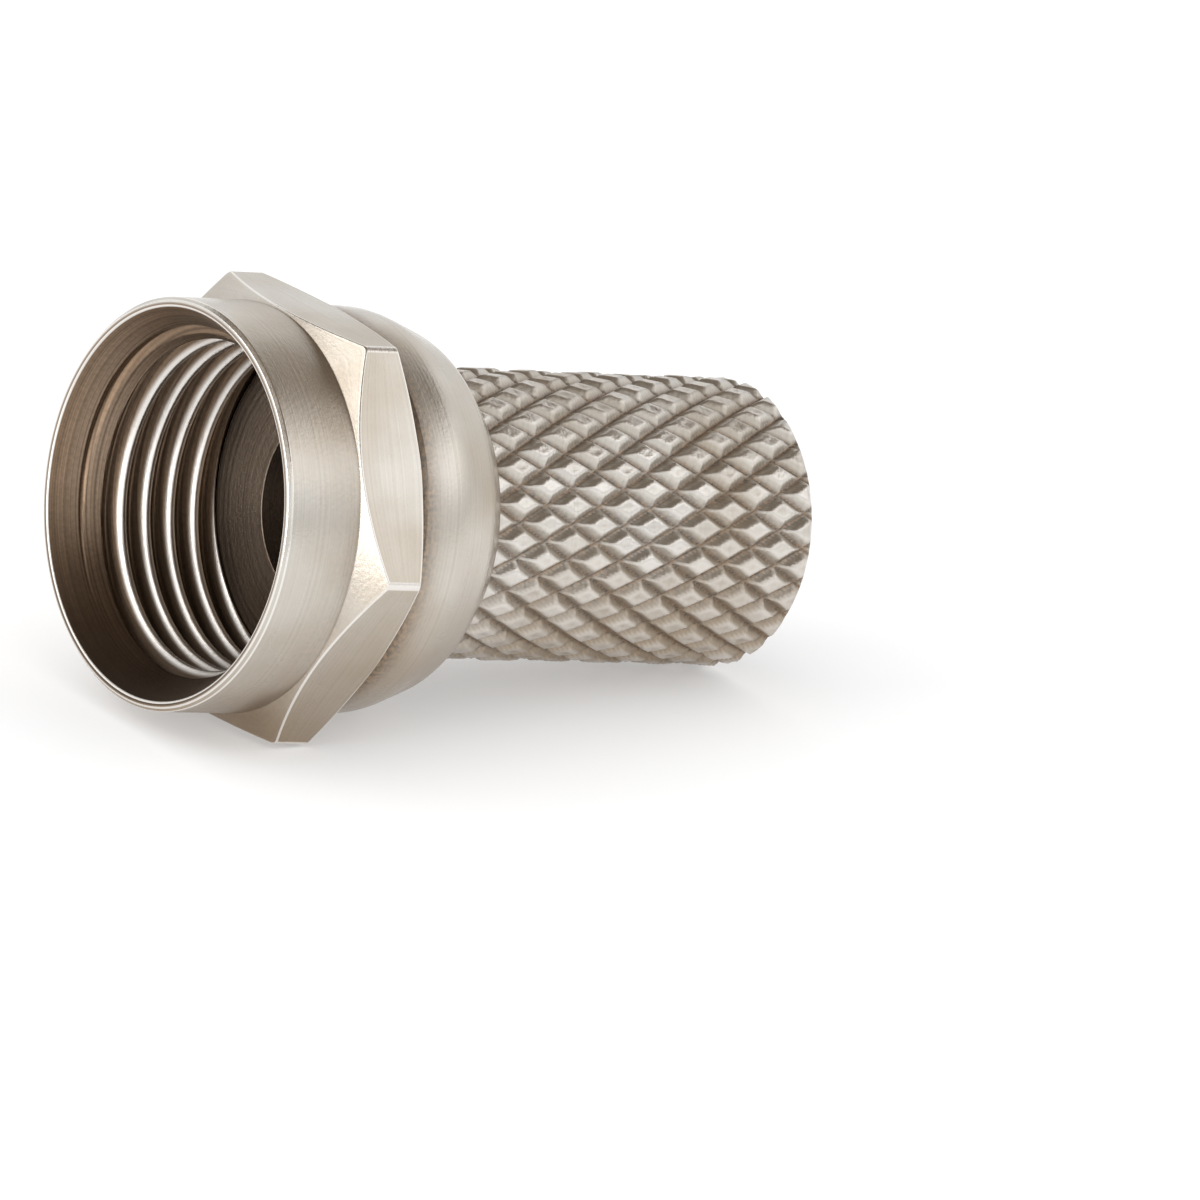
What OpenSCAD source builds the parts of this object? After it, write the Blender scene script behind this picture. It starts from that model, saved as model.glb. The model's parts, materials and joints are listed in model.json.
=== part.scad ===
// Screw-on coaxial F connector, male: a loose hexagon coupling nut on a knurled cable body.
// Sizes are in millimetres. Each piece is drawn upright on its own turning axis, with z = 0 at the
// plane of the nut's mouth and z rising toward the cable end, and rest_pose() then lays it down.

/* [Port thread] */
// Nominal diameter of the port thread, 3/8 inch
thread_d = 9.525; // [9.2:0.025:9.8]
// Pitch of the port thread, 32 to the inch
thread_pitch = 0.794; // [0.6:0.002:0.9]
// Slope of the countersunk mouth against the axis
mouth_slope = 30; // [25:1:45]

/* [Coupling nut] */
// Whole length of the nut
nut_len = 7.9; // [7.6:0.1:8.6]
// Wall of the round collar over the roots of the thread
collar_wall = 0.65; // [0.45:0.05:0.8]
// Width of the rim round the countersunk mouth
rim_w = 0.25; // [0.15:0.01:0.4]
// Bevel on the outer edge of the rim
rim_edge = 0.1; // [0.05:0.01:0.15]
// Length of the round collar in front of the hexagon
collar_len = 2.3; // [1.6:0.05:2.6]
// Hexagon across its flats
hex_af = 11; // [10.8:0.1:12]
// Length of the hexagon along the middle of a flat
hex_len = 2; // [1.8:0.05:2.2]
// Slope of the chamfers on the front corners of the hexagon
front_chamfer = 33; // [20:1:40]
// Slope of the chamfers on its rear corners
rear_chamfer = 24; // [15:1:30]
// Depth of the fine groove turned behind the hexagon
groove_depth = 0.12; // [0.05:0.01:0.2]
// Width of that groove
groove_w = 0.16; // [0.1:0.01:0.3]
// Wall of the tail round the cavity
tail_wall = 0.6; // [0.45:0.05:0.75]
// Length of the taper, where the tail is swaged in toward the body
taper_len = 1.4; // [1.2:0.05:1.5]
// Radius of the bend where the taper starts
tail_bend_r = 2; // [0.5:0.1:3]
// Slope of the rolled lip at the end of the tail
lip_slope = 45; // [38:1:50]
// Length of the rolled lip along the axis
lip_len = 0.7; // [0.6:0.05:0.9]
// Radius of the bend between the taper and the lip
lip_bend_r = 1.2; // [0.5:0.1:1.6]
// Thickness of the lip at its edge
lip_edge = 0.12; // [0.08:0.01:0.2]
// Least length of the round opening through the lip
lip_land = 0.2; // [0.1:0.05:0.3]

/* [Cable body] */
// Whole length of the connector, from the mouth to the cable end
connector_len = 18.9; // [17:0.1:21]
// Length of the flange's round rim, in front of its bevelled seat
flange_rim = 0.6; // [0.4:0.05:0.8]
// Thickness of the flange
flange_len = 1.6; // [1.4:0.05:1.7]
// Small bevel on the front edge of the flange
flange_edge = 0.15; // [0.05:0.05:0.3]
// Wall of the neck behind the flange
neck_wall = 0.5; // [0.4:0.05:0.6]
// Hole for the cable's insulated core
core_d = 5; // [4.4:0.1:5.6]
// Length of the core hole, which is also the thickness of the stop for the cable's jacket
core_len = 1.5; // [1.2:0.1:1.6]
// Bore for the cable's jacket
cable_d = 6.5; // [5.8:0.05:6.9]
// Bevel where the cable goes in
cable_bevel = 0.3; // [0.1:0.05:0.4]

/* [Knurled grip] */
// Wall between the bore and the bottoms of the grooves
grip_wall = 0.35; // [0.25:0.05:0.5]
// Depth of the grooves of the knurl
knurl_depth = 0.3; // [0.15:0.01:0.34]
// Height of the sharp pyramids before their tops are turned off
knurl_peak = 0.42; // [0.36:0.01:0.5]
// Number of grooves round the grip in each direction
knurl_starts = 24; // [16:1:30]
// Length of one diamond along the axis
knurl_pitch = 1.75; // [1.3:0.05:2.4]
// Distance that the knurl starts inside the lip of the nut
knurl_tuck = 0.5; // [0.3:0.05:0.6]
// Bevel at the cable end of the grip
grip_bevel = 0.3; // [0.1:0.05:0.35]

/* [Fits] */
// Clearance between the port's thread and the plain bores of the nut
port_clearance = 0.02; // [0.01:0.01:0.05]
// Clearance all round between the nut and the flange
turn_clearance = 0.08; // [0.03:0.01:0.1]
// Gap between the end of the port thread and the flange
flange_gap = 0.1; // [0.05:0.01:0.3]
// Gap between the lip of the nut and the tops of the knurl
lip_gap = 0.15; // [0.1:0.01:0.25]

/* [Hidden] */

$fn = 96;
over = 1;                                        // how far a cutting shape runs past a face
bend_steps = 6;                                  // faces along each turned bend

// Port thread: UN form, whose crests stand 1.0825 pitches inside the nominal diameter
thread_r = thread_d / 2;
crest_r = thread_r - 1.0825 * thread_pitch / 2;
cavity_r = thread_r + port_clearance;            // bored out to the roots of the thread

// Collar, with its mouth countersunk down to the crests, and hexagon
collar_r = cavity_r + collar_wall;
mouth_r = collar_r - rim_w;
thread_from = (mouth_r - crest_r) / tan(mouth_slope);
flat_r = hex_af / 2;
corner_r = flat_r / cos(30);
hex_end = collar_len + hex_len;

// Grip: the bore, its wall and the knurl over it
bore_r = cable_d / 2;
root_r = bore_r + grip_wall;
knurl_r = root_r + knurl_depth;

// Tail: a straight length, a taper and a steep lip, which meet in two rounded corners
tail_r = cavity_r + tail_wall;
lip_r = knurl_r + lip_gap;
tail_foot = [tail_r, hex_end];
tail_corner = [tail_r, nut_len - lip_len - taper_len];
lip_corner = [lip_r + lip_edge + lip_len * tan(lip_slope), nut_len - lip_len];
lip_rim = [lip_r + lip_edge, nut_len];
taper = atan((tail_corner.x - lip_corner.x) / (lip_corner.y - tail_corner.y));

// Seat: the inside of the taper, parallel to its outside and one wall away, down to the lip
seat_from = tail_corner.y + (tail_corner.x - tail_wall / cos(taper) - cavity_r) / tan(taper);
lip_from = min(seat_from + (cavity_r - lip_r) / tan(taper), nut_len - lip_land);
seat = atan((cavity_r - lip_r) / (lip_from - seat_from));

// Flange: a running fit in the cavity, with its rear edge bevelled to the seat's slope. The port
// thread runs up to it.
flange_r = cavity_r - turn_clearance;
bevel_from = seat_from - turn_clearance * tan(seat / 2);
flange_from = bevel_from - flange_rim;
flange_to = flange_from + flange_len;
bevel_r = flange_r - (flange_to - bevel_from) * tan(seat);
thread_to = flange_from - flange_gap;

// Rows of the knurl, counted so that one row ends where the bevel of the cable end starts
knurl_from = nut_len - knurl_tuck;
grip_end = connector_len - grip_bevel;
row_h = knurl_pitch / 2;
rows = ceil((grip_end - knurl_from) / row_h) + 1;
past_end = ceil(grip_bevel / row_h) + 1;
jacket_stop = flange_from + core_len;

// A rounded corner of a turned outline: points of the arc that touches both of its sides
function rounded(before, corner, after, radius) =
  let (u = (before - corner) / norm(before - corner),
       v = (after - corner) / norm(after - corner),
       half = acos(u * v) / 2,
       centre = corner + (u + v) / norm(u + v) * radius / sin(half),
       from = corner + u * radius / tan(half) - centre,
       turn = sign(cross(u, v)) * (180 - 2 * half))
    [for (i = [0:bend_steps])
      let (t = -turn * i / bend_steps)
        centre + [from.x * cos(t) - from.y * sin(t), from.x * sin(t) + from.y * cos(t)]];

tail_bends = concat(
  rounded(tail_foot, tail_corner, lip_corner, tail_bend_r),
  rounded(tail_corner, lip_corner, lip_rim, lip_bend_r));

// At rest the connector lies on the cable end of the grip and on the point of the nut that stands
// out furthest from there: the rear edge of a flat, or the tail where it starts to bend in
function lean_on(p) = atan((p.x - knurl_r) / (grip_end - p.y));
supports = concat([[flat_r, hex_end]], tail_bends);
lean = max([for (p = supports) lean_on(p)]);
lift = max([for (p = supports) p.x * cos(lean) + p.y * sin(lean)]);
front_x = -(collar_r - rim_edge) * sin(lean);
rear_x = connector_len * cos(lean) + (knurl_r - grip_bevel) * sin(lean);

// Lays an upright piece down with its mouth toward -X, its local +X side down, and leans it
module rest_pose()
  translate([-(front_x + rear_x) / 2, 0, lift])
    rotate([0, 90 + lean, 0])
      children();

// Outside of the nut without its hexagon: rim, collar, fine groove, taper and rolled lip
module nut_outline() {
  polygon(concat(
    [[0, 0],
     [collar_r - rim_edge, 0],
     [collar_r, rim_edge],
     [collar_r, hex_end - hex_len / 2],
     [tail_r - groove_depth, hex_end - hex_len / 2],
     [tail_r - groove_depth, hex_end + groove_w],
     [tail_r, hex_end + groove_w + groove_depth]],
    tail_bends,
    [lip_rim,
     [0, nut_len]]));
}

// Hexagon with its corners chamfered front and rear by a turned cone
module hexagon() {
  intersection() {
    translate([0, 0, collar_len])
      rotate([0, 0, 30])
        cylinder(r = corner_r, h = hex_len, $fn = 6);
    rotate_extrude()
      polygon([
        [0, collar_len],
        [collar_r, collar_len],
        [corner_r, collar_len + (corner_r - collar_r) * tan(front_chamfer)],
        [corner_r, hex_end - (corner_r - flat_r) * tan(rear_chamfer)],
        [flat_r, hex_end],
        [0, hex_end]]);
  }
}

// Inside of the nut: countersunk mouth, thread bore, cavity for the flange, and lip
module nut_cavity() {
  polygon([
    [0, -over],
    [mouth_r + over * tan(mouth_slope), -over],
    [crest_r, thread_from],
    [crest_r, thread_to],
    [cavity_r, thread_to],
    [cavity_r, seat_from],
    [lip_r, lip_from],
    [lip_r, nut_len + over],
    [0, nut_len + over]]);
}

// The coupling nut, which turns freely on the body
module coupling_nut() {
  color([0.74, 0.71, 0.67])
    rest_pose()
      difference() {
        union() {
          rotate_extrude() nut_outline();
          hexagon();
        }
        rotate_extrude() nut_cavity();
      }
}

// Outside of the body: flange with its bevelled seat, neck, and the blank that is knurled
module body_outline() {
  polygon([
    [0, flange_from],
    [flange_r - flange_edge, flange_from],
    [flange_r, flange_from + flange_edge],
    [flange_r, bevel_from],
    [bevel_r, flange_to],
    [bore_r + neck_wall, flange_to],
    [bore_r + neck_wall, knurl_from],
    [knurl_r, knurl_from],
    [knurl_r, grip_end],
    [knurl_r - grip_bevel, connector_len],
    [0, connector_len]]);
}

// Two families of helical grooves that cross. On a grid of half pitches each second point is the
// peak of a pyramid and the others are roots, and every square is split along its groove.
// A peak lies at the bottom of the grip, where its bevel starts, so that the grip rests on it.
module diamond_knurl() {
  cols = 2 * knurl_starts;
  last = rows + past_end;
  is_peak = function(i, k) (i + k + rows) % 2 == 0;
  spot = function(i, k) k * cols + i % cols;
  ring = [for (k = [0:last]) for (i = [0:cols - 1])
    let (r = is_peak(i, k) ? root_r + knurl_peak : root_r, a = 360 * i / cols)
      [r * cos(a), r * sin(a), grip_end + (k - rows) * row_h]];
  halves = [for (k = [0:last - 1]) for (i = [0:cols - 1])
    let (a = spot(i, k), b = spot(i + 1, k), c = spot(i + 1, k + 1), d = spot(i, k + 1))
      is_peak(i, k) ? [[a, d, b], [b, d, c]] : [[a, c, b], [a, d, c]]];
  foot = len(ring);
  caps = [for (i = [0:cols - 1])
    each [[foot, spot(i, 0), spot(i + 1, 0)],
          [foot + 1, spot(i + 1, last), spot(i, last)]]];
  polyhedron(
    points = concat(ring, [[0, 0, ring[0].z], [0, 0, ring[foot - 1].z]]),
    faces = concat([for (pair = halves) each pair], caps));
}

// Bores of the body: the core hole, the bore for the jacket and its bevelled entry
module body_bores() {
  translate([0, 0, flange_from - over])
    cylinder(d = core_d, h = core_len + 2 * over);
  translate([0, 0, jacket_stop])
    cylinder(r = bore_r, h = connector_len - jacket_stop + over);
  translate([0, 0, connector_len - cable_bevel])
    cylinder(r1 = bore_r, r2 = bore_r + cable_bevel + over, h = cable_bevel + over);
}

// The cable body, turned from one bar
module cable_body() {
  color([0.68, 0.65, 0.61])
    rest_pose()
      difference() {
        intersection() {
          rotate_extrude() body_outline();
          union() {
            cylinder(r = flange_r + over, h = knurl_from);
            diamond_knurl();
          }
        }
        body_bores();
      }
}

coupling_nut();
cable_body();
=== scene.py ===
"""Looks of a screw-on coaxial F connector: coupling nut, knurled cable body and a plain pale stage."""
import json
import math
from typing import NamedTuple

import bpy
import numpy as np
from mathutils import Matrix, Vector

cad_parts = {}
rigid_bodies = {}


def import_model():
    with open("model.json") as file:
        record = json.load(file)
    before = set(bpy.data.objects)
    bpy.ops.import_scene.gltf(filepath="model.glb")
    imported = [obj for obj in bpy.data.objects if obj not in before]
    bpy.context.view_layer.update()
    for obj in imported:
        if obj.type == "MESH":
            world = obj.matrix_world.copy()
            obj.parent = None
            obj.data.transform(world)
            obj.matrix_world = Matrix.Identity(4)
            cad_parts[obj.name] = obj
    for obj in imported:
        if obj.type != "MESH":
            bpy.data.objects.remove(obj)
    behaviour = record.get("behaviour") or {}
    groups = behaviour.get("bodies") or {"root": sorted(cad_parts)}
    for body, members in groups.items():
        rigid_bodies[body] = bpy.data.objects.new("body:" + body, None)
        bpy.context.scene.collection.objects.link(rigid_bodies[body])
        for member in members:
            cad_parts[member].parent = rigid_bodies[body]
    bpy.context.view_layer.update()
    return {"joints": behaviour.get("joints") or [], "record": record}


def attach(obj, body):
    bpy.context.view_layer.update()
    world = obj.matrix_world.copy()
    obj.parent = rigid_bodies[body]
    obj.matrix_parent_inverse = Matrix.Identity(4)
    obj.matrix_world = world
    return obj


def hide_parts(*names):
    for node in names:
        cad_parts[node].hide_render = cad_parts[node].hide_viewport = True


bl_info = {
    "name": "Screw-on F connector",
    "version": (1, 0, 0),
    "blender": (4, 5, 0),
    "location": "3D View > Sidebar > F connector",
    "description": "Builds the coupling nut, the knurled cable body and a plain stage round the packed part",
    "category": "Add Mesh",
}

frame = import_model()

# The turning axis: its direction runs from the mouth to the cable end, and the joint sits on it
# at the front face of the flange. Every turned surface is written as (along, radius, angle).
SPIN = frame["joints"][0]
MOUNTS = {mount["name"]: mount for mount in frame["record"]["mounts"]}
ALONG = np.array(SPIN["axis"])
ACROSS = np.array([0.0, 1.0, 0.0])
DOWN = np.cross(ACROSS, ALONG)
FLANGE_CENTRE = np.array(SPIN["pos_m"])
MM = 0.001
FULL_TURN = 2 * math.pi


def mount_size(name, key):
    """A mount's stated size in metres."""
    return MOUNTS[name]["dims"][key] * MM


def size(name, description, default):
    """A length property, stored in metres."""
    return bpy.props.FloatProperty(
        name=name, description=description, default=default, min=0.0,
        unit="LENGTH", subtype="DISTANCE", precision=5)


def colour(name, description, default):
    """A colour property."""
    return bpy.props.FloatVectorProperty(
        name=name, description=description, default=default, size=3, min=0.0, max=1.0,
        subtype="COLOR")


def slope(name, description, degrees):
    """An angle property, given in degrees and stored in radians."""
    return bpy.props.FloatProperty(
        name=name, description=description, default=math.radians(degrees),
        unit="ROTATION", subtype="ANGLE")


class NutSizes(bpy.types.PropertyGroup):
    """Sizes of the coupling nut."""
    nut_len: size("Length", "Whole length of the nut", 7.9 * MM)
    collar_wall: size("Collar wall", "Wall of the collar over the roots of the thread", 0.65 * MM)
    rim_w: size("Rim width", "Width of the rim round the countersunk mouth", 0.25 * MM)
    rim_edge: size("Rim bevel", "Bevel on the outer edge of the rim", 0.1 * MM)
    collar_len: size("Collar length", "Length of the round collar", 2.3 * MM)
    hex_flat: size("Centre to flat", "Half of the hexagon across its flats", 5.5 * MM)
    hex_len: size("Hexagon length", "Length of a flat along its middle", 2 * MM)
    hex_corner: size("Corner rounding", "Radius worn onto the hexagon's corners", 0.25 * MM)
    groove_depth: size("Groove depth", "Depth of the fine groove behind the hexagon", 0.12 * MM)
    groove_w: size("Groove width", "Width of that groove", 0.16 * MM)
    tail_wall: size("Tail wall", "Wall of the tail round the cavity", 0.6 * MM)
    taper_len: size("Taper length", "Length of the tail's taper in front of the lip", 1.4 * MM)
    tail_bend: size("Tail bend", "Radius of the bend where the taper starts", 2 * MM)
    lip_len: size("Lip length", "Length of the rolled lip along the axis", 0.7 * MM)
    lip_bend: size("Lip bend", "Radius of the bend between taper and lip", 1.2 * MM)
    lip_edge: size("Lip edge", "Thickness of the lip at its edge", 0.12 * MM)
    lip_land: size("Lip land", "Least length of the round opening through the lip", 0.2 * MM)
    front_chamfer: slope("Front chamfer", "Slope of the chamfers on the front corners", 33)
    rear_chamfer: slope("Rear chamfer", "Slope of the chamfers on the rear corners", 24)
    lip_slope: slope("Lip slope", "Slope of the rolled lip", 45)


class ThreadSizes(bpy.types.PropertyGroup):
    """Sizes of the port thread and of the cable's cutting thread."""
    crest: size("Crest radius", "Radius of the port thread's crests", mount_size("port_thread", "r_mm"))
    root: size("Root radius", "Radius of the port thread's roots", 4.7625 * MM)
    pitch: size("Pitch", "Pitch of the port thread", 0.794 * MM)
    run: size("Thread length", "Length of full thread", mount_size("port_thread", "length_mm"))
    mouth_slope: slope("Mouth slope", "Slope of the countersunk mouth against the axis", 30)
    start: bpy.props.FloatProperty(
        name="Start", description="Share of a full turn by which the port thread is turned",
        default=0.27, min=0, max=1, subtype="FACTOR")
    clearance: size("Clearance", "Room between the port's thread and the plain bore", 0.02 * MM)
    jacket_pitch: size("Jacket thread pitch", "Pitch of the thread that cuts into the jacket", 1.27 * MM)
    jacket_depth: size("Jacket thread depth", "Depth of that thread", 0.2 * MM)


class BodySizes(bpy.types.PropertyGroup):
    """Sizes of the cable body."""
    connector_len: size("Connector length", "From the mouth to the cable end", 18.9 * MM)
    flange_len: size("Flange", "Thickness of the flange", 1.6 * MM)
    flange_gap: size("Flange gap", "Gap between the port thread's end and the flange", 0.1 * MM)
    flange_edge: size("Flange bevel", "Bevel on the front edge of the flange", 0.15 * MM)
    turn_clearance: size("Turning clearance", "Clearance between nut and flange", 0.08 * MM)
    neck_wall: size("Neck wall", "Wall of the neck behind the flange", 0.5 * MM)
    core: size("Core hole", "Radius of the hole for the core", mount_size("core_hole", "r_mm"))
    core_len: size("Core hole length", "Length of that hole", mount_size("core_hole", "length_mm"))
    bore: size("Jacket bore", "Radius of the bore for the jacket", mount_size("cable_bore", "r_mm"))
    bore_bevel: size("Entry bevel", "Bevel where the cable goes in", 0.3 * MM)
    grip_wall: size("Grip wall", "Wall between bore and groove bottoms", 0.35 * MM)
    grip_bevel: size("Grip bevel", "Bevel at the cable end of the grip", 0.3 * MM)
    lip_gap: size("Lip gap", "Gap between the nut's lip and the knurl", 0.15 * MM)


class KnurlSizes(bpy.types.PropertyGroup):
    """Sizes of the diamond knurl."""
    starts: bpy.props.IntProperty(
        name="Starts", description="Grooves round the grip in each direction", default=24, min=8)
    pitch: size("Diamond length", "Length of one diamond along the axis", 1.75 * MM)
    depth: size("Depth", "Depth of the grooves", 0.3 * MM)
    peak: size("Sharp height", "Height of the pyramids before their tops are formed", 0.54 * MM)
    tuck: size("Tuck", "Distance that the knurl starts inside the lip", 0.5 * MM)
    crater: size("Crater", "Depth of the hollow that rolling leaves in a top", 0.05 * MM)


class FinishColours(bpy.types.PropertyGroup):
    """Colours of the plating, also used for painted shade and a painted highlight, and of the stage."""
    nickel: colour("Nickel", "Colour of the satin nickel plate", (0.67, 0.648, 0.608))
    # The worn colour marks edges rubbed bright, and it is also a painted highlight on the crests of the port
    # thread.
    worn: colour("Worn edge", "Nickel where edges are rubbed bright", (0.86, 0.83, 0.79))
    # The tarnish colour is a brown film, and also the colour of painted shade in roots, grooves, corners and
    # inside.
    tarnish: colour("Tarnish and shade", "Brown film in roots, grooves and corners", (0.065, 0.047, 0.034))
    ceiling: colour("Ceiling", "Dim upper part of the room, seen in the metal", (0.20, 0.16, 0.122))
    floor: colour("Floor", "Colour of the pale floor", (0.66, 0.66, 0.66))


class ViewSettings(bpy.types.PropertyGroup):
    """Where the main camera stands."""
    azimuth: slope("Azimuth", "Direction of the camera round the part", -38.35)
    elevation: slope("Elevation", "Height of the camera over the horizon", 18.5)
    roll: slope("Roll", "Turn of the picture round the line of sight", 8.0)
    distance: size("Distance", "From the camera to the part", 0.4)
    frame_width: size("Frame width", "Width of the picture at the part", 31.82 * MM)


# ---------------------------------------------------------------- shapes


def place(along, radius, angle):
    """Points on turned surfaces: mouth + along * A + radius * (cos(angle) * D + sin(angle) * C),
    where A is the axis, D points down from it and C across it."""
    mouth = FLANGE_CENTRE - ConnectorShape(bpy.context.scene).flange_from * ALONG
    along, radius, angle = (np.asarray(v)[..., None] for v in np.broadcast_arrays(along, radius, angle))
    return mouth + along * ALONG + radius * (np.cos(angle) * DOWN + np.sin(angle) * ACROSS)


class Turn(NamedTuple):
    """One corner of a turned outline: where it lies, the size of its rounding, and its marks: how
    worn, how hollow and how far inside the surface is there, each from 0 to 1; hollow and inside lay a brown
    film with painted shade."""
    along: object
    radius: object
    bend: float = 0.0
    worn: float = 0.0
    hollow: float = 0.0
    inside: float = 0.0


class Rows(NamedTuple):
    """Rows of a turned surface, each array with the shape (row, angle)."""
    along: object
    radius: object
    worn: object
    hollow: object
    inside: object


def rows_of(along, radius, worn=0.0, hollow=0.0, inside=0.0):
    """Rows with every value spread to the same shape."""
    return Rows(*np.broadcast_arrays(along, radius, worn, hollow, inside))


def joined(*parts):
    """Several sets of rows, one after the other."""
    return Rows(*(np.concatenate(arrays) for arrays in zip(*parts)))


def rounded_rows(turns, angles, steps=4, guard=1.35):
    """Rows of an outline with rounded corners, for all angles at once.

    A corner C with unit directions u and v to its neighbours is cut back by d = bend * tan(turn/2),
    at most a fixed share of its shorter side, and becomes the curve
    (1-w)^2 (C + d u) + 2 w (1-w) C + w^2 (C + d v) for w from 0 to 1. One more row at guard * d on
    each side keeps the shading of the long faces flat. The first and the last turn are only
    neighbours. Wear lies on the curves, not on the rows beside them."""
    corners = np.array([np.broadcast_arrays(turn.along, turn.radius, angles)[:2] for turn in turns])
    corners = corners.transpose(0, 2, 1)
    tiny, straight, most_of_a_side = 1e-9, 0.9999, 0.36
    parts = []
    for before, centre, after, turn in zip(corners, corners[1:], corners[2:], turns[1:]):
        back, ahead = before - centre, after - centre
        len_back = np.linalg.norm(back, axis=-1, keepdims=True) + tiny
        len_ahead = np.linalg.norm(ahead, axis=-1, keepdims=True) + tiny
        u, v = back / len_back, ahead / len_ahead
        cosine = np.clip((u * v).sum(-1, keepdims=True), -straight, straight)
        cut = turn.bend * np.sqrt((1 + cosine) / (1 - cosine))
        cut = np.minimum(cut, most_of_a_side * np.minimum(len_back, len_ahead))
        w = np.linspace(0, 1, steps + 1)[:, None, None]
        curve = (1 - w) ** 2 * (centre + cut * u) + 2 * w * (1 - w) * centre + w ** 2 * (centre + cut * v)
        points = np.concatenate([[centre + guard * cut * u], curve, [centre + guard * cut * v]])
        worn = np.zeros(points.shape[:2])
        worn[1:-1] = turn.worn
        parts.append(rows_of(points[..., 0], points[..., 1], worn, turn.hollow, turn.inside))
    return joined(*parts)


def thread_depth(phase, crest=0.16, root=0.2, soft=0.06):
    """How deep a thread is cut at a phase, from 0 on its crests to 1 in its roots: with
    y = |2 frac(phase) - 1| and d = (y - crest) / (1 - crest - root), the depth is
    (d + sqrt(d^2 + soft^2)) / 2, which rounds the crests, and at most 1."""
    y = np.abs(2 * (phase - np.floor(phase)) - 1)
    d = (y - crest) / (1 - crest - root)
    return np.minimum(0.5 * (d + np.sqrt(d ** 2 + soft ** 2)), 1)


def smooth_step(low, high, value):
    """0 below low, 1 above high, and 3 t^2 - 2 t^3 between them."""
    t = np.clip((value - low) / (high - low), 0, 1)
    return t * t * (3 - 2 * t)


def ring_mesh(name, rows, angles):
    """A closed turned mesh from rows, in which the last row joins the first and angles wrap round.
    The marks are stored as attributes. The UV map holds millimetres: round the piece at its mean
    radius, and along its outline."""
    along, radius = rows.along, rows.radius
    n_rows, n_cols = radius.shape
    points = place(along, radius, angles[None, :]).reshape(-1, 3)
    row, col = np.meshgrid(np.arange(n_rows), np.arange(n_cols), indexing="ij")
    next_row, next_col = (row + 1) % n_rows, (col + 1) % n_cols
    quads = np.stack([row * n_cols + col, row * n_cols + next_col,
                      next_row * n_cols + next_col, next_row * n_cols + col], -1).reshape(-1, 4)
    mesh = bpy.data.meshes.new(name)
    mesh.vertices.add(len(points))
    mesh.vertices.foreach_set("co", points.ravel())
    mesh.loops.add(quads.size)
    mesh.loops.foreach_set("vertex_index", quads.ravel())
    mesh.polygons.add(len(quads))
    mesh.polygons.foreach_set("loop_start", np.arange(0, quads.size, 4))
    mesh.update(calc_edges=True)
    mesh.polygons.foreach_set("use_smooth", np.ones(len(quads), dtype=bool))
    step = np.hypot(np.diff(along, axis=0), np.diff(radius, axis=0)).mean(1)
    path = np.concatenate([[0], np.cumsum(step)])
    closing = np.hypot(along[0] - along[-1], radius[0] - radius[-1]).mean()
    round_u = np.concatenate([angles, [FULL_TURN]]) * radius.mean() / MM
    path_v = np.concatenate([path, [path[-1] + closing]]) / MM
    corner_cols = np.stack([col, col + 1, col + 1, col], -1).reshape(-1)
    corner_rows = np.stack([row, row, row + 1, row + 1], -1).reshape(-1)
    uv = mesh.uv_layers.new(name="finish_map")
    uv.uv.foreach_set("vector", np.stack([round_u[corner_cols], path_v[corner_rows]], -1).ravel())
    for key in ("worn", "hollow", "inside"):
        layer = mesh.attributes.new(key, "FLOAT", "POINT")
        layer.data.foreach_set("value", getattr(rows, key).ravel().astype(np.float32))
    piece = bpy.data.objects.new(name, mesh)
    bpy.context.scene.collection.objects.link(piece)
    return piece


def hexagon_angles(flat, corner_round, per_flat=28):
    """Angles for a hexagon that stands on a flat: an even fan, with more where the corners are
    rounded. Returns the angles and the hexagon's radius there: flat / cos(a) along a flat, and on
    the rounding m cos(b) + sqrt(r^2 - m^2 sin(b)^2), with a and b measured from the flat and from
    the corner and m the distance of the rounding's centre."""
    side = FULL_TURN / 6
    middle = (flat - corner_round) / math.cos(side / 2)
    tangent = side / 2 - math.atan((flat - corner_round) * math.tan(side / 2) / flat)
    fan = np.linspace(-side / 2, side / 2, per_flat, endpoint=False)
    on_rounding, beside_it = 5, 1.5
    near = np.concatenate([tangent * np.linspace(0, 1, on_rounding), [beside_it * tangent]])
    local = np.concatenate([fan, near - side / 2, side / 2 - near[1:]])
    local = np.unique(np.round(local, 9))
    angles = np.sort(np.concatenate([local + k * side for k in range(6)]) % FULL_TURN)
    from_flat = (angles + side / 2) % side - side / 2
    from_corner = side / 2 - np.abs(from_flat)
    on_round = from_corner < tangent
    inside = np.maximum(corner_round ** 2 - (middle * np.sin(from_corner)) ** 2, 0)
    radius = np.where(on_round, middle * np.cos(from_corner) + np.sqrt(inside), flat / np.cos(from_flat))
    return angles, radius, np.where(on_round, 1.0, 0.0)


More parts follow.
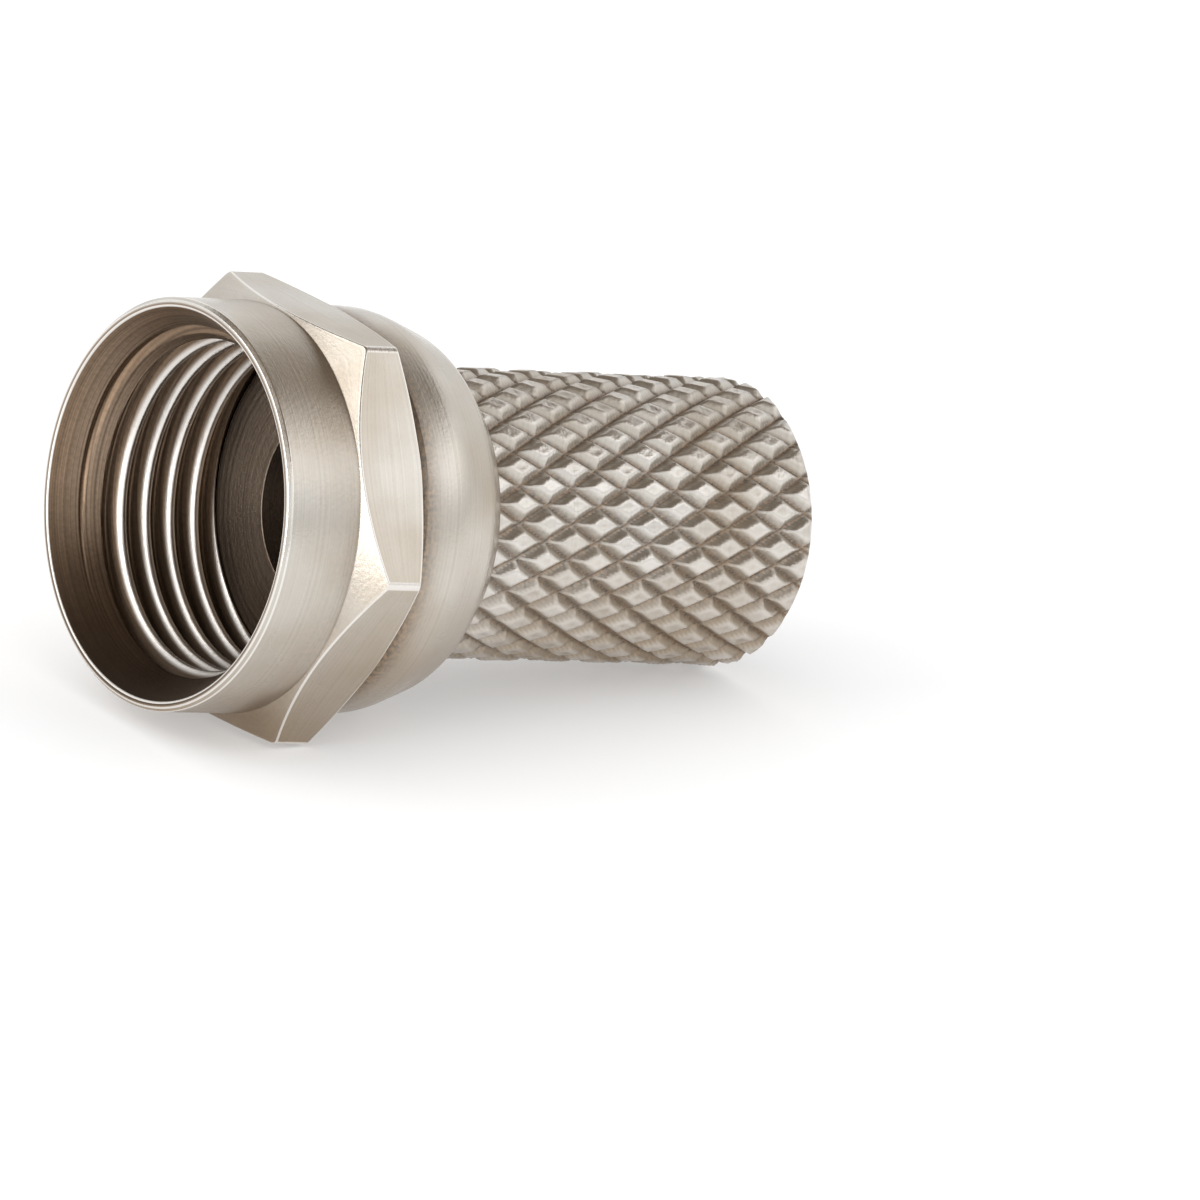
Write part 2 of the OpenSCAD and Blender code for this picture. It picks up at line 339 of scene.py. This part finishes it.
class ConnectorShape:
    """Radii and stations along the axis, worked out from the sizes as the solids have them."""

    def __init__(self, scene):
        nut, thread, body, knurl = (
            scene.connector_nut, scene.connector_thread, scene.connector_body, scene.connector_knurl)
        self.cavity = thread.root + thread.clearance
        self.collar = self.cavity + nut.collar_wall
        self.mouth = self.collar - nut.rim_w
        self.thread_from = (self.mouth - thread.crest) / math.tan(thread.mouth_slope)
        self.thread_to = self.thread_from + thread.run
        self.flange_from = self.thread_to + body.flange_gap
        self.hex_end = nut.collar_len + nut.hex_len
        self.tail = self.cavity + nut.tail_wall
        self.knurl = body.bore + body.grip_wall + knurl.depth
        self.lip = self.knurl + body.lip_gap
        self.tail_corner = (nut.nut_len - nut.lip_len - nut.taper_len, self.tail)
        lip_rise = nut.lip_len * math.tan(nut.lip_slope)
        self.lip_corner = (nut.nut_len - nut.lip_len, self.lip + nut.lip_edge + lip_rise)
        taper = math.atan2(self.tail_corner[1] - self.lip_corner[1], nut.taper_len)
        inner = self.tail - nut.tail_wall / math.cos(taper)
        self.seat_from = self.tail_corner[0] + (inner - self.cavity) / math.tan(taper)
        lip_reach = self.seat_from + (self.cavity - self.lip) / math.tan(taper)
        self.lip_from = min(lip_reach, nut.nut_len - nut.lip_land)
        self.seat = math.atan2(self.cavity - self.lip, self.lip_from - self.seat_from)


def nut_surface(scene):
    """The nut's closed outline at every angle: mouth, rim, collar, chamfered hexagon, groove, tail,
    lip, cavity and thread. On the hexagon the radius h(angle) is that of the rounded hexagon, and
    its chamfers start where their cones reach it: s = s0 +- (h - r0) tan(slope)."""
    nut, thread = scene.connector_nut, scene.connector_thread
    shape = ConnectorShape(scene)
    angles, hexagon, corner_mark = hexagon_angles(nut.hex_flat, nut.hex_corner)
    front = nut.collar_len + (hexagon - shape.collar) * math.tan(nut.front_chamfer)
    least_land = 0.02 * MM
    rear = shape.hex_end - least_land - (hexagon - nut.hex_flat) * math.tan(nut.rear_chamfer)
    groove = shape.tail - nut.groove_depth
    groove_end = shape.hex_end + nut.groove_w
    lead_in = 0.05 * MM
    thread_start = (shape.mouth - thread.root) / math.tan(thread.mouth_slope) - lead_in
    rows_per_pitch = 32
    rows = int((shape.thread_to - thread_start) / thread.pitch * rows_per_pitch)
    thread_along = np.linspace(shape.thread_to, thread_start, rows)[:, None]
    phase = thread_along / thread.pitch + thread.start - angles / FULL_TURN
    cut = thread_depth(phase)
    countersink = shape.mouth - thread_along * math.tan(thread.mouth_slope)
    thread_radius = np.maximum(thread.crest + cut * (thread.root - thread.crest), countersink)

    below = smooth_step(0.15, 0.45, cut)
    on_thread = thread_radius > countersink
    # The thread's roots get a brown film with painted shade.
    root_film_and_shade = 0.55
    # The crests get the worn mark: rubbed bright, and a painted highlight on the crest lines.
    port_thread = rows_of(thread_along, thread_radius, (1 - below) * on_thread,
                          root_film_and_shade * below * on_thread, inside=1.0)

    fine, edge, wide = 0.03 * MM, 0.06 * MM, 0.3 * MM
    # Hollow marks lay a brown film with painted shade into the mouth's edge, the corner before the hexagon,
    # the groove behind it and the cavity.
    outside = rounded_rows([
        Turn(thread_start, thread_radius[-1]),
        Turn(0, shape.mouth, edge, worn=1, hollow=0.6, inside=1),
        Turn(0, shape.collar - nut.rim_edge, edge, worn=1),
        Turn(nut.rim_edge, shape.collar, edge, worn=1),
        Turn(nut.collar_len, shape.collar, fine, hollow=0.3),
        Turn(front, hexagon, edge, worn=1),
        Turn(rear, hexagon, edge, worn=1),
        Turn(shape.hex_end, nut.hex_flat, fine, worn=0.6),
        Turn(shape.hex_end, groove, fine, hollow=1),
        Turn(groove_end, groove, fine, hollow=1),
        Turn(groove_end + nut.groove_depth, shape.tail, edge, hollow=0.8),
        Turn(*shape.tail_corner, nut.tail_bend),
        Turn(*shape.lip_corner, nut.lip_bend),
        # The lip's outer edge is darkened with a painted shadow of the gap between the lip and the knurl.
        Turn(nut.nut_len, shape.lip + nut.lip_edge, fine, hollow=0.9),
        Turn(nut.nut_len, shape.lip, fine, hollow=1, inside=1),
        Turn(shape.lip_from, shape.lip, wide, inside=1),
        Turn(shape.seat_from, shape.cavity, wide, inside=1),
        Turn(shape.thread_to, shape.cavity, fine, hollow=1, inside=1),
        Turn(shape.thread_to, thread_radius[0]),
    ], angles)
    between_chamfers = (outside.along > front) & (outside.along < rear) & (outside.radius > groove)
    on_corner = between_chamfers * corner_mark
    outside = outside._replace(worn=np.maximum(outside.worn, on_corner))
    return joined(outside, port_thread), angles


def knurl_height(along, angles, scene):
    """Height of the knurl over its roots. Two families of grooves run at u = N a / 2 pi + s / L and
    v = N a / 2 pi - s / L; with d the distance of u or v to the nearest whole number, the sharp
    pyramids are 2 peak min(d_u, d_v). A soft minimum with the depth forms the tops, each with its
    own slight tilt and height, and a crater is pressed into them."""
    knurl, body = scene.connector_knurl, scene.connector_body
    grip_end = body.connector_len - body.grip_bevel
    turn = knurl.starts * angles[None, :] / FULL_TURN
    slide = (along[:, None] - grip_end) / knurl.pitch
    u, v = turn + slide + 0.5, turn - slide + 0.5
    cell = (np.floor(u).astype(int) % knurl.starts, np.floor(v).astype(int) % knurl.starts)
    fu, fv = u - np.floor(u), v - np.floor(v)
    sharp = 2 * knurl.peak * np.minimum(0.5 - np.abs(fu - 0.5), 0.5 - np.abs(fv - 0.5))
    rng = np.random.default_rng(7)
    count = (knurl.starts, knurl.starts)
    most_drop, usual_tilt, least_crater = 0.16, 0.10, 0.2
    own_drop = rng.uniform(0, most_drop, count)[cell]
    tilt_u = rng.normal(0, usual_tilt, count)[cell] * (fu - 0.5)
    tilt_v = rng.normal(0, usual_tilt, count)[cell] * (fv - 0.5)
    top = knurl.depth * np.minimum(1 - own_drop + tilt_u + tilt_v, 1)
    soft = 0.025 * MM
    height = 0.5 * (sharp + top - np.sqrt((sharp - top) ** 2 + soft ** 2))
    middle = np.clip((sharp - top) / (knurl.peak - knurl.depth), 0, 1)
    crater = rng.uniform(least_crater, 1.0, count)[cell] * knurl.crater * middle ** 1.5
    return np.maximum(height - crater, 0)


def body_surface(scene):
    """The body's closed outline at every angle: flange, bevelled seat, neck, knurled grip, end face,
    bore with its cutting thread, and core hole."""
    nut, thread = scene.connector_nut, scene.connector_thread
    body, knurl = scene.connector_body, scene.connector_knurl
    shape = ConnectorShape(scene)
    flange_from = shape.flange_from
    flange_to = flange_from + body.flange_len
    flange = shape.cavity - body.turn_clearance
    bevel_from = shape.seat_from - body.turn_clearance * math.tan(shape.seat / 2)
    bevel = flange - (flange_to - bevel_from) * math.tan(shape.seat)
    neck = body.bore + body.neck_wall
    root = body.bore + body.grip_wall
    knurl_from = nut.nut_len - knurl.tuck
    grip_end = body.connector_len - body.grip_bevel
    stop = flange_from + body.core_len
    per_half = 8
    angles = np.linspace(0, FULL_TURN, 2 * knurl.starts * per_half, endpoint=False)
    row_step = knurl.pitch / 2 / per_half
    least_step = 0.2 * row_step
    grip_along = np.arange(grip_end, knurl_from, -row_step)[::-1]
    on_bevel = np.linspace(grip_end, body.connector_len, 5)[1:]
    grip_along = np.concatenate([[knurl_from], grip_along[grip_along > knurl_from + least_step], on_bevel])
    height = knurl_height(grip_along, angles, scene)
    end_cone = shape.knurl - np.maximum(grip_along[:, None] - grip_end, 0)
    grip_radius = np.minimum(root + height, end_cone)

    bore_from = body.connector_len - body.bore_bevel
    turns = (bore_from - stop) / thread.jacket_pitch
    rows_per_turn = 8
    bore_along = np.linspace(bore_from, stop, int(turns * rows_per_turn))[:, None]
    phase = bore_along / thread.jacket_pitch - angles / FULL_TURN
    cut = thread_depth(phase, root=0.3)
    fade = np.clip((bore_along - stop) / thread.jacket_pitch, 0, 1)
    bore_radius = body.bore + cut * thread.jacket_depth * fade

    fine, edge, wide = 0.03 * MM, 0.06 * MM, 0.3 * MM
    head = rounded_rows([
        Turn(stop, body.core),
        Turn(flange_from, body.core, fine, inside=0.8),
        Turn(flange_from, flange - body.flange_edge, edge, worn=1, inside=0.7),
        Turn(flange_from + body.flange_edge, flange, edge, inside=1),
        Turn(bevel_from, flange, wide, inside=1),
        Turn(flange_to, bevel, edge, inside=1),
        Turn(flange_to, neck, fine, inside=1),
        # Where the neck meets the knurl under the lip, a brown film with painted shade.
        Turn(knurl_from, neck, fine, hollow=1, inside=1),
        Turn(knurl_from, grip_radius[0]),
    ], angles, steps=2)
    # The knurl's tops are rubbed bright. Its grooves get a brown film with painted shade, fading out partway
    # up the tops.
    top = height / knurl.depth
    rubbed_from, rubbed_over, most_rubbed, film_and_shade_up_to = 0.72, 0.2, 0.6, 0.55
    rubbed = most_rubbed * np.clip((top - rubbed_from) / rubbed_over, 0, 1)
    grip = rows_of(grip_along[:, None], grip_radius, rubbed, 1 - smooth_step(0.0, film_and_shade_up_to, top))
    entry = rounded_rows([
        Turn(body.connector_len, grip_radius[-1]),
        Turn(body.connector_len, body.bore + body.bore_bevel, edge, worn=1),
        Turn(bore_from, body.bore, fine, inside=0.5),
        Turn(bore_from - fine, body.bore),
    ], angles)
    # The cutting thread's roots get a brown film with painted shade.
    on_crest = cut[1:] < 0.1
    jacket_thread = rows_of(bore_along[1:], bore_radius[1:], 0.4 * on_crest, cut[1:], inside=1.0)
    # The corner at the bottom of the bore gets a brown film with painted shade.
    foot = rounded_rows([
        Turn(stop + edge, bore_radius[-1]),
        Turn(stop, bore_radius[-1], fine, hollow=1, inside=1),
        Turn(stop, body.core, fine, worn=0.5, inside=1),
        Turn(flange_from + edge, body.core),
    ], angles, steps=2)
    return joined(head, grip, entry, jacket_thread, foot), angles


# ---------------------------------------------------------------- materials


def socket_group(name, inputs, outputs):
    """A new shader node group with named float or colour sockets."""
    group = bpy.data.node_groups.new(name, "ShaderNodeTree")
    for label, kind, default in inputs:
        item = group.interface.new_socket(label, in_out="INPUT", socket_type=kind)
        item.default_value = default
    for label, kind in outputs:
        group.interface.new_socket(label, in_out="OUTPUT", socket_type=kind)
    return group


def add(tree, kind, inputs=(), **settings):
    """Adds a node, sets its fields, and gives its inputs from (input, value or output socket) pairs."""
    node = tree.nodes.new(kind)
    for key, value in settings.items():
        setattr(node, key, value)
    for target, value in inputs:
        if isinstance(value, bpy.types.NodeSocket):
            tree.links.new(value, node.inputs[target])
        else:
            node.inputs[target].default_value = value
    return node


def calc(tree, operation, *values, clamp=False):
    """The output of a maths node with the given values or output sockets."""
    return add(tree, "ShaderNodeMath", enumerate(values), operation=operation, use_clamp=clamp).outputs[0]


def spread(tree, source, low, high, at_low=0.0, at_high=1.0):
    """The output of a node that maps low to at_low and high to at_high, and stays between them."""
    inputs = enumerate((source, low, high, at_low, at_high))
    return add(tree, "ShaderNodeMapRange", inputs).outputs[0]


def lathe_marks():
    """Group: fine rings left by turning. Height = noise of the outline's length, stretched round the
    piece, so that it changes fast along the outline and slowly round it."""
    tree = socket_group(
        "lathe_marks",
        [("Rings per mm", "NodeSocketFloat", 9.0), ("Waviness", "NodeSocketFloat", 0.02)],
        [("Height", "NodeSocketFloat"), ("Tone", "NodeSocketFloat")])
    source = add(tree, "NodeGroupInput")
    sink = add(tree, "NodeGroupOutput")
    uv = add(tree, "ShaderNodeUVMap", uv_map="finish_map")
    split = add(tree, "ShaderNodeSeparateXYZ", [(0, uv.outputs[0])])
    coords = add(tree, "ShaderNodeTexCoord")
    drift = add(tree, "ShaderNodeTexNoise",
                [("Vector", coords.outputs["Object"]), ("Scale", 350), ("Detail", 1)],
                noise_dimensions="3D")
    bend = calc(tree, "MULTIPLY", drift.outputs["Fac"], source.outputs["Waviness"])
    shifted = calc(tree, "ADD", split.outputs["Y"], bend)
    scaled = calc(tree, "MULTIPLY", shifted, source.outputs["Rings per mm"])
    rings = add(tree, "ShaderNodeTexNoise",
                [("W", scaled), ("Scale", 1), ("Detail", 3), ("Roughness", 0.65)],
                noise_dimensions="1D")
    tree.links.new(rings.outputs["Fac"], sink.inputs["Height"])
    tree.links.new(spread(tree, rings.outputs["Fac"], 0.3, 0.7), sink.inputs["Tone"])
    return tree


def plate_patches_and_underside_shade():
    """Group: uneven plating, and painted shade low down. Cloud is a soft noise a few millimetres wide, Grain
    a fine one, and the underside output is painted shade that falls from 1 at the floor to 0 at the shade's
    height."""
    tree = socket_group(
        "plate_patches_and_underside_shade",
        [("Cloud Scale", "NodeSocketFloat", 260.0), ("Grain Scale", "NodeSocketFloat", 9000.0),
         ("Shade Height", "NodeSocketFloat", 0.005)],
        [("Cloud", "NodeSocketFloat"), ("Grain", "NodeSocketFloat"), ("Underside Shade", "NodeSocketFloat")])
    source = add(tree, "NodeGroupInput")
    sink = add(tree, "NodeGroupOutput")
    coords = add(tree, "ShaderNodeTexCoord")
    for label, detail in (("Cloud", 3), ("Grain", 2)):
        noise = add(tree, "ShaderNodeTexNoise",
                    [("Vector", coords.outputs["Object"]), ("Scale", source.outputs[f"{label} Scale"]),
                     ("Detail", detail)])
        tree.links.new(spread(tree, noise.outputs["Fac"], 0.32, 0.68), sink.inputs[label])
    # Painted shade: 1 at the floor, falling to 0 at the shade's height.
    split = add(tree, "ShaderNodeSeparateXYZ", [(0, coords.outputs["Object"])])
    fall = spread(tree, split.outputs["Z"], 0, source.outputs["Shade Height"], 1, 0)
    tree.links.new(fall, sink.inputs["Underside Shade"])
    return tree


def shared_group(maker):
    """The node group of a maker function, built once."""
    return bpy.data.node_groups.get(maker.__name__) or maker()


def nickel_material(name, rings_per_mm, ring_depth, grain_depth, roughness):
    """Satin nickel plate: a warm metal whose tone drifts in patches. It darkens with a brown film and
    painted shade where the surface is hollow and inside, and with painted shade low down towards the floor.
    It is rubbed brighter and smoother on worn edges, and the same bright colour is a painted highlight on
    the port thread's crests.
    Inside, the film has streaks and specks, and painted shade makes it darkest low down. Turning rings and
    fine grain are bumps. roughness holds the values on the smoothest and the dullest patches."""
    colours = bpy.context.scene.connector_finish
    material = bpy.data.materials.new(name)
    material.use_nodes = True
    tree = material.node_tree
    shader = tree.nodes["Principled BSDF"]
    shader.inputs["Metallic"].default_value = 1.0
    marks = add(tree, "ShaderNodeGroup", node_tree=shared_group(lathe_marks))
    marks.inputs["Rings per mm"].default_value = rings_per_mm
    patches = add(tree, "ShaderNodeGroup", node_tree=shared_group(plate_patches_and_underside_shade))
    worn, hollow, inside = (add(tree, "ShaderNodeAttribute", attribute_name=key).outputs["Fac"]
                            for key in ("worn", "hollow", "inside"))
    tone, cloud, grain, low = (
        marks.outputs["Tone"], patches.outputs["Cloud"], patches.outputs["Grain"],
        patches.outputs["Underside Shade"])

    def blend(factor, a, b, kind="MIX"):
        """The output of a colour mix: from a at factor 0 to b at factor 1."""
        a, b = (c if isinstance(c, bpy.types.NodeSocket) else (*c, 1) for c in (a, b))
        return add(tree, "ShaderNodeMix", [(0, factor), (6, a), (7, b)],
                   data_type="RGBA", blend_type=kind).outputs[2]

    warm = tuple(c * f for c, f in zip(colours.nickel, (0.80, 0.72, 0.62)))
    brown = tuple(c * f for c, f in zip(colours.tarnish, (5.6, 4.8, 3.7)))
    # Painted shade: the underside is multiplied towards this brownish colour, most at the floor.
    underside_shade_colour = (0.57, 0.475, 0.38)
    # This film colour serves both a real brown film and painted shade.
    film_and_shade = blend(calc(tree, "MAXIMUM", grain, inside), colours.tarnish, brown)
    in_hollows = calc(tree, "POWER", hollow, 1.5)
    # Streaks and specks are the film's own marks inside; the third mask, low down inside, is painted shade.
    streaks, specks, low_inside_shade = (calc(tree, "MULTIPLY", mask, inside) for mask in (tone, grain, low))
    base = colours.nickel
    # each layer of colour: where it lies, how strongly it covers, its colour, and how it is laid on
    for mask, strength, tint, kind in (
            (cloud, 0.8, warm, "MIX"),
            (tone, 0.14, film_and_shade, "MIX"),
            # painted shade low down, towards the floor
            (low, 1.0, underside_shade_colour, "MULTIPLY"),
            # brown film with painted shade in hollows
            (in_hollows, 0.85, film_and_shade, "MIX"),
            # brown film with painted shade over every inside surface
            (inside, 0.75, film_and_shade, "MIX"),
            (streaks, 0.7, colours.tarnish, "MIX"),
            (specks, 0.22, colours.tarnish, "MIX"),
            # painted shade: darkest low down inside
            (low_inside_shade, 1.2, colours.tarnish, "MIX"),
            # wear on edges, and a painted highlight on the port thread's crests
            (worn, 0.85, colours.worn, "MIX")):
        share = calc(tree, "MULTIPLY", mask, strength, clamp=True)
        base = blend(share, base, tint, kind)
    tree.links.new(base, shader.inputs["Base Color"])

    smooth, dull = roughness
    rough = calc(tree, "MULTIPLY_ADD", cloud, dull - smooth, smooth)
    for mask, change in ((hollow, 0.18), (inside, 0.14), (worn, -0.1)):
        rough = calc(tree, "MULTIPLY_ADD", mask, change, rough)
    tree.links.new(rough, shader.inputs["Roughness"])

    bump_rings = add(tree, "ShaderNodeBump",
                     [("Height", marks.outputs["Height"]), ("Strength", 1.0), ("Distance", ring_depth)])
    bump_grain = add(tree, "ShaderNodeBump",
                     [("Height", grain), ("Strength", 1.0), ("Distance", grain_depth),
                      ("Normal", bump_rings.outputs["Normal"])])
    tree.links.new(bump_grain.outputs["Normal"], shader.inputs["Normal"])
    return material


def floor_material():
    """Pale matt floor that keeps the part's shadow. A glow, seen only by the camera, in reflections
    and through glass, lifts it to the white of the surroundings without lighting the part."""
    colours = bpy.context.scene.connector_finish
    material = bpy.data.materials.new("pale_floor")
    material.use_nodes = True
    tree = material.node_tree
    shader = tree.nodes["Principled BSDF"]
    shader.inputs["Roughness"].default_value = 0.9
    shader.inputs["Specular IOR Level"].default_value = 0.0
    coords = add(tree, "ShaderNodeTexCoord")
    noise = add(tree, "ShaderNodeTexNoise", [("Vector", coords.outputs["Object"]), ("Scale", 120)])
    darkest = tuple(0.985 * c for c in colours.floor)
    tint = add(tree, "ShaderNodeMix",
               [(0, noise.outputs["Fac"]), (6, (*colours.floor, 1)), (7, (*darkest, 1))],
               data_type="RGBA")
    tree.links.new(tint.outputs[2], shader.inputs["Base Color"])
    path = add(tree, "ShaderNodeLightPath")
    seen = calc(tree, "MAXIMUM", path.outputs["Is Camera Ray"], path.outputs["Is Glossy Ray"])
    seen = calc(tree, "MAXIMUM", seen, path.outputs["Is Transmission Ray"])
    glow = 0.34
    shader.inputs["Emission Color"].default_value = (1, 1, 1, 1)
    tree.links.new(calc(tree, "MULTIPLY", seen, glow), shader.inputs["Emission Strength"])
    return material


# ---------------------------------------------------------------- operators


def direction(azimuth, elevation):
    """The unit vector towards an azimuth and elevation: (sin a cos e, -cos a cos e, sin e)."""
    level = math.cos(elevation)
    return Vector((math.sin(azimuth) * level, -math.cos(azimuth) * level, math.sin(elevation)))


def dress(surface, name, node, body, material):
    """Makes the mesh of a surface and gives it its node's place, body, slot and material."""
    piece = ring_mesh(name, *surface)
    piece.data.materials.append(material)
    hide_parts(node)
    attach(piece, body)


class MakeCouplingNut(bpy.types.Operator):
    """Build the coupling nut with its hexagon, rolled lip and port thread"""
    bl_idname = "connector.make_coupling_nut"
    bl_label = "Coupling nut"

    def execute(self, context):
        material = nickel_material(
            "turned_nickel", rings_per_mm=11.0, ring_depth=0.004 * MM, grain_depth=0.002 * MM,
            roughness=(0.2, 0.34))
        dress(nut_surface(context.scene), "coupling_nut_detail", "coupling_nut", SPIN["child"],
              material)
        return {"FINISHED"}


class MakeCableBody(bpy.types.Operator):
    """Build the cable body with its flange, diamond knurl and cutting thread"""
    bl_idname = "connector.make_cable_body"
    bl_label = "Cable body"

    def execute(self, context):
        material = nickel_material(
            "knurled_nickel", rings_per_mm=9.0, ring_depth=0.003 * MM, grain_depth=0.005 * MM,
            roughness=(0.30, 0.48))
        dress(body_surface(context.scene), "cable_body_detail", "cable_body", SPIN["parent"],
              material)
        return {"FINISHED"}


class MakeStage(bpy.types.Operator):
    """Build the pale floor, the soft studio lights and the camera"""
    bl_idname = "connector.make_stage"
    bl_label = "Stage, lights and camera"

    def execute(self, context):
        scene = context.scene
        half_width = 1.5
        signs = ((-1, -1), (1, -1), (1, 1), (-1, 1))
        corners = [(x * half_width, y * half_width, 0) for x, y in signs]
        mesh = bpy.data.meshes.new("pale_floor")
        mesh.from_pydata(corners, [], [(0, 1, 2, 3)])
        floor = bpy.data.objects.new("pale_floor", mesh)
        floor.data.materials.append(floor_material())
        scene.collection.objects.link(floor)
        self.white_surroundings(scene)
        self.lights(scene)
        self.camera(scene)
        return {"FINISHED"}

    def white_surroundings(self, scene):
        """A white room. The camera and glass see it plain white. Reflections see it a little dimmer
        at the horizon and as a dim ceiling overhead, which gives the metal's curves their tones."""
        world = bpy.data.worlds.new("white_room")
        scene.world = world
        world.use_nodes = True
        tree = world.node_tree
        background = tree.nodes["Background"]
        path = add(tree, "ShaderNodeLightPath")
        coords = add(tree, "ShaderNodeTexCoord")
        split = add(tree, "ShaderNodeSeparateXYZ", [(0, coords.outputs["Generated"])])
        ramp = add(tree, "ShaderNodeValToRGB", [(0, split.outputs["Z"])])
        ramp.color_ramp.interpolation = "EASE"
        horizon, high = ramp.color_ramp.elements
        horizon.position, horizon.color = 0.0, (0.78, 0.77, 0.75, 1)
        high.position, high.color = 0.71, (*scene.connector_finish.ceiling, 1)
        for position in (0.3, 0.57):
            ramp.color_ramp.elements.new(position).color = (1, 1, 1, 1)
        white = (1, 1, 1, 1)
        glossy = add(tree, "ShaderNodeMix",
                     [(0, path.outputs["Is Glossy Ray"]), (6, white), (7, ramp.outputs[0])],
                     data_type="RGBA")
        tree.links.new(glossy.outputs[2], background.inputs["Color"])
        background.inputs["Strength"].default_value = 1.0

    def lights(self, scene):
        """Soft boxes, aimed at the part: (name, azimuth, elevation, distance, width, height, watts)."""
        for name, azimuth, elevation, distance, width, height, watts in (
                ("left_box", -110, 36, 0.5, 0.36, 0.3, 0.5),
                ("right_box", 46, 37, 0.5, 0.44, 0.3, 0.16),
                ("mouth_box", -84, 10, 0.5, 0.26, 0.2, 0.9)):
            data = bpy.data.lights.new(name, "AREA")
            data.shape = "RECTANGLE"
            data.size, data.size_y, data.energy = width, height, watts
            light = bpy.data.objects.new(name, data)
            back = direction(math.radians(azimuth), math.radians(elevation))
            light.location = back * distance
            light.rotation_mode = "QUATERNION"
            light.rotation_quaternion = back.to_track_quat("Z", "Y")
            light.visible_camera = False
            scene.collection.objects.link(light)

    def camera(self, scene):
        """The main camera: it stands at distance along the view direction from the part, moved
        sideways so that the part sits left of and above the picture's centre."""
        view = scene.connector_view
        data = bpy.data.cameras.new("main_camera")
        sensor_width_mm = 36
        data.sensor_width = sensor_width_mm
        data.lens = data.sensor_width * view.distance / view.frame_width
        data.clip_start, data.clip_end = 0.01, 10
        camera = bpy.data.objects.new("main_camera", data)
        back = direction(view.azimuth, view.elevation)
        right = Vector((math.cos(view.azimuth), math.sin(view.azimuth), 0))
        up = back.cross(right)
        turned_right = math.cos(view.roll) * right + math.sin(view.roll) * up
        turned_up = -math.sin(view.roll) * right + math.cos(view.roll) * up
        target = Vector((0, 0, 5 * MM))
        # the part's middle lies these shares of the frame's width from the picture's centre
        beside, above = -0.1272, 0.075
        spot = (target + back * view.distance - beside * view.frame_width * turned_right
                - above * view.frame_width * turned_up)
        camera.matrix_world = Matrix((
            (turned_right.x, turned_up.x, back.x, spot.x),
            (turned_right.y, turned_up.y, back.y, spot.y),
            (turned_right.z, turned_up.z, back.z, spot.z),
            (0, 0, 0, 1)))
        scene.collection.objects.link(camera)
        scene.camera = camera
        scene.view_settings.view_transform = "Standard"


class ConnectorPanel(bpy.types.Panel):
    """Lists the pieces of the connector and their sizes"""
    bl_idname = "VIEW3D_PT_connector"
    bl_label = "F connector"
    bl_space_type = "VIEW_3D"
    bl_region_type = "UI"
    bl_category = "F connector"

    def draw(self, context):
        layout = self.layout
        for operator in OPERATORS:
            layout.operator(operator.bl_idname)
        for name, group in GROUPS.items():
            box = layout.box()
            box.label(text=group.__doc__.rstrip("."))
            settings = getattr(context.scene, name)
            for key in group.__annotations__:
                box.prop(settings, key)


GROUPS = {
    "connector_nut": NutSizes,
    "connector_thread": ThreadSizes,
    "connector_body": BodySizes,
    "connector_knurl": KnurlSizes,
    "connector_finish": FinishColours,
    "connector_view": ViewSettings,
}
OPERATORS = (MakeStage, MakeCouplingNut, MakeCableBody)


def register():
    for group in GROUPS.values():
        bpy.utils.register_class(group)
    for name, group in GROUPS.items():
        setattr(bpy.types.Scene, name, bpy.props.PointerProperty(type=group))
    for operator in OPERATORS:
        bpy.utils.register_class(operator)
    bpy.utils.register_class(ConnectorPanel)


def unregister():
    bpy.utils.unregister_class(ConnectorPanel)
    for operator in reversed(OPERATORS):
        bpy.utils.unregister_class(operator)
    for name in GROUPS:
        delattr(bpy.types.Scene, name)
    for group in reversed(list(GROUPS.values())):
        bpy.utils.unregister_class(group)


def main():
    """Builds everything in order."""
    register()
    bpy.ops.connector.make_stage()
    bpy.ops.connector.make_coupling_nut()
    bpy.ops.connector.make_cable_body()


if __name__ == "__main__":
    main()
